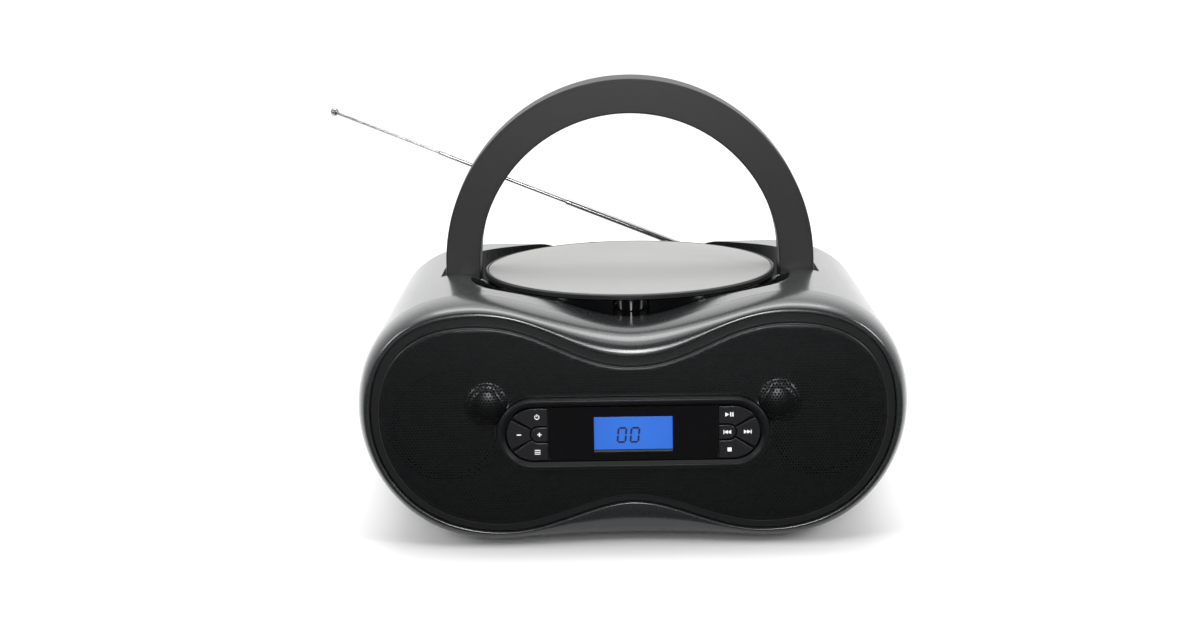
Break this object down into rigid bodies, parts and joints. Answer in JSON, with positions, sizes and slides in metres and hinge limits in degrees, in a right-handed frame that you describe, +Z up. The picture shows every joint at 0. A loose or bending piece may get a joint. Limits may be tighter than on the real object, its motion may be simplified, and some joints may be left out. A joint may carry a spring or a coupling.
{
  "type": "boombox",
  "caption": "Portable CD player and radio: lobed speaker front, round top lid, arched folding handle and telescopic antenna.",
  "frame": {"origin": "middle of the cabinet's flat underside", "axes": "+X to the viewer's right, +Y to the back, +Z up"},
  "size_m": [0.3189, 0.2572, 0.2293],
  "materials": {
    "charcoal": "satin charcoal moulded plastic, slightly glossy",
    "handle": "satin charcoal plastic",
    "black": "matt black plastic",
    "gloss": "glossy black plastic",
    "grille": "black painted perforated sheet",
    "key": "black plastic keys with pale icons",
    "lid": "satin light grey",
    "display": "blue lit display",
    "board": "green circuit board",
    "steel": "plain steel",
    "chrome": "bright chrome",
    "paper": "black cone paper",
    "rubber": "matt black rubber",
    "lens": "coated lens",
    "white": "natural white plastic",
    "copper": "plated spring metal"
  },
  "bodies": {
    "cabinet": {"front_bezel": "charcoal", "cabinet_shell": "charcoal", "rear_cover": "charcoal", "speaker_baffle": "black", "deck_chassis": "black", "mains_inlet": "black", "speaker_grille": "grille", "panel_frame": "gloss", "display_window": "gloss", "cd_well": "gloss", "lcd_module": "display", "key_board": "board", "main_board": "board", "speaker_frame_left": "steel", "speaker_frame_right": "steel", "speaker_magnet_left": "steel", "speaker_magnet_right": "steel", "rear_screw_upper_left": "steel", "rear_screw_upper_right": "steel", "rear_screw_lower_left": "steel", "rear_screw_lower_right": "steel", "lid_hinge_pin": "steel", "guide_rod_front": "steel", "guide_rod_back": "steel", "sled_motor": "steel", "spindle_motor": "steel", "handle_pivot_pin_left": "steel", "handle_pivot_pin_right": "steel", "mains_transformer": "steel", "foot_front_left": "rubber", "foot_front_right": "rubber", "foot_rear_left": "rubber", "foot_rear_right": "rubber", "deck_damper_front": "rubber", "deck_damper_back": "rubber", "deck_damper_side": "rubber", "battery_contact_left": "copper", "battery_contact_right": "copper"},
    "lid": {"lid_frame": "black", "lid_plate": "lid"},
    "handle": {"handle": "handle"},
    "turntable": {"turntable_hub": "gloss"},
    "sled": {"laser_sled": "white"},
    "drive_gear": {"sled_gear": "white"},
    "lens": {"laser_lens": "lens"},
    "battery_door": {"battery_door": "charcoal"},
    "antenna_swivel": {"antenna_swivel": "black"},
    "antenna_base": {"antenna_base_tube": "chrome"},
    "antenna_middle": {"antenna_middle_tube": "chrome"},
    "antenna_tip": {"antenna_tip_rod": "chrome"},
    "cone_left": {"speaker_cone_left": "paper"},
    "cone_right": {"speaker_cone_right": "paper"},
    "power_function_key": {"power_function_key": "key"},
    "volume_down_key": {"volume_down_key": "key"},
    "volume_up_key": {"volume_up_key": "key"},
    "mode_key": {"mode_key": "key"},
    "play_pause_key": {"play_pause_key": "key"},
    "previous_key": {"previous_key": "key"},
    "next_key": {"next_key": "key"},
    "stop_key": {"stop_key": "key"}
  },
  "joints": [
    {"name": "power_function_press", "type": "slide", "parent": "cabinet", "child": "power_function_key", "axis": [0, 1, 0], "range_m": [0, 0.0008], "stiffness_N_per_m": 250},
    {"name": "volume_down_press", "type": "slide", "parent": "cabinet", "child": "volume_down_key", "axis": [0, 1, 0], "range_m": [0, 0.0008], "stiffness_N_per_m": 250},
    {"name": "volume_up_press", "type": "slide", "parent": "cabinet", "child": "volume_up_key", "axis": [0, 1, 0], "range_m": [0, 0.0008], "stiffness_N_per_m": 250},
    {"name": "mode_press", "type": "slide", "parent": "cabinet", "child": "mode_key", "axis": [0, 1, 0], "range_m": [0, 0.0008], "stiffness_N_per_m": 250},
    {"name": "play_pause_press", "type": "slide", "parent": "cabinet", "child": "play_pause_key", "axis": [0, 1, 0], "range_m": [0, 0.0008], "stiffness_N_per_m": 250},
    {"name": "previous_press", "type": "slide", "parent": "cabinet", "child": "previous_key", "axis": [0, 1, 0], "range_m": [0, 0.0008], "stiffness_N_per_m": 250},
    {"name": "next_press", "type": "slide", "parent": "cabinet", "child": "next_key", "axis": [0, 1, 0], "range_m": [0, 0.0008], "stiffness_N_per_m": 250},
    {"name": "stop_press", "type": "slide", "parent": "cabinet", "child": "stop_key", "axis": [0, 1, 0], "range_m": [0, 0.0008], "stiffness_N_per_m": 250},
    {"name": "cone_left_stroke", "type": "slide", "parent": "cabinet", "child": "cone_left", "axis": [0, 1, 0], "range_m": [-0.001, 0.001], "stiffness_N_per_m": 900},
    {"name": "cone_right_stroke", "type": "slide", "parent": "cabinet", "child": "cone_right", "axis": [0, 1, 0], "range_m": [-0.001, 0.001], "stiffness_N_per_m": 900},
    {"name": "lid_hinge", "type": "hinge", "parent": "cabinet", "child": "lid", "pos_m": [0, 0.0935, 0.112], "axis": [-1, 0, 0], "range_deg": [0, 13]},
    {"name": "handle_fold", "type": "hinge", "parent": "cabinet", "child": "handle", "pos_m": [0, 0.006, 0.11], "axis": [-1, 0, 0], "range_deg": [0, 90]},
    {"name": "turntable_spin", "type": "hinge", "parent": "cabinet", "child": "turntable", "pos_m": [0, 0.006, 0.108], "axis": [0, 0, 1], "continuous": true},
    {"name": "sled_travel", "type": "slide", "parent": "cabinet", "child": "sled", "axis": [1, 0, 0], "range_m": [0, 0.032]},
    {"name": "drive_gear_turn", "type": "hinge", "parent": "cabinet", "child": "drive_gear", "pos_m": [0.037, -0.0197, 0.1], "axis": [0, 0, -1], "range_deg": [0, 305.6]},
    {"name": "lens_focus", "type": "slide", "parent": "sled", "child": "lens", "axis": [0, 0, 1], "range_m": [-0.0002, 0.0008], "stiffness_N_per_m": 40},
    {"name": "battery_door_hinge", "type": "hinge", "parent": "cabinet", "child": "battery_door", "pos_m": [0, 0.0807, 0], "axis": [1, 0, 0], "range_deg": [0, 100]},
    {"name": "antenna_turn", "type": "hinge", "parent": "cabinet", "child": "antenna_swivel", "pos_m": [0.0385, 0.128, 0.108], "axis": [0, 0, -1], "range_deg": [0, 180]},
    {"name": "antenna_tilt", "type": "hinge", "parent": "antenna_swivel", "child": "antenna_base", "pos_m": [0.0385, 0.128, 0.108], "axis": [0, 1, 0], "range_deg": [-22.2, 67.8]},
    {"name": "antenna_middle_retract", "type": "slide", "parent": "antenna_base", "child": "antenna_middle", "axis": [0.9259, 0, -0.3778], "range_m": [0, 0.066]},
    {"name": "antenna_tip_retract", "type": "slide", "parent": "antenna_middle", "child": "antenna_tip", "axis": [0.9259, 0, -0.3778], "range_m": [0, 0.063]}
  ],
  "couplings": [
    {"joint": "drive_gear_turn", "follows": "sled_travel", "rad_per_m": 166.67}
  ]
}
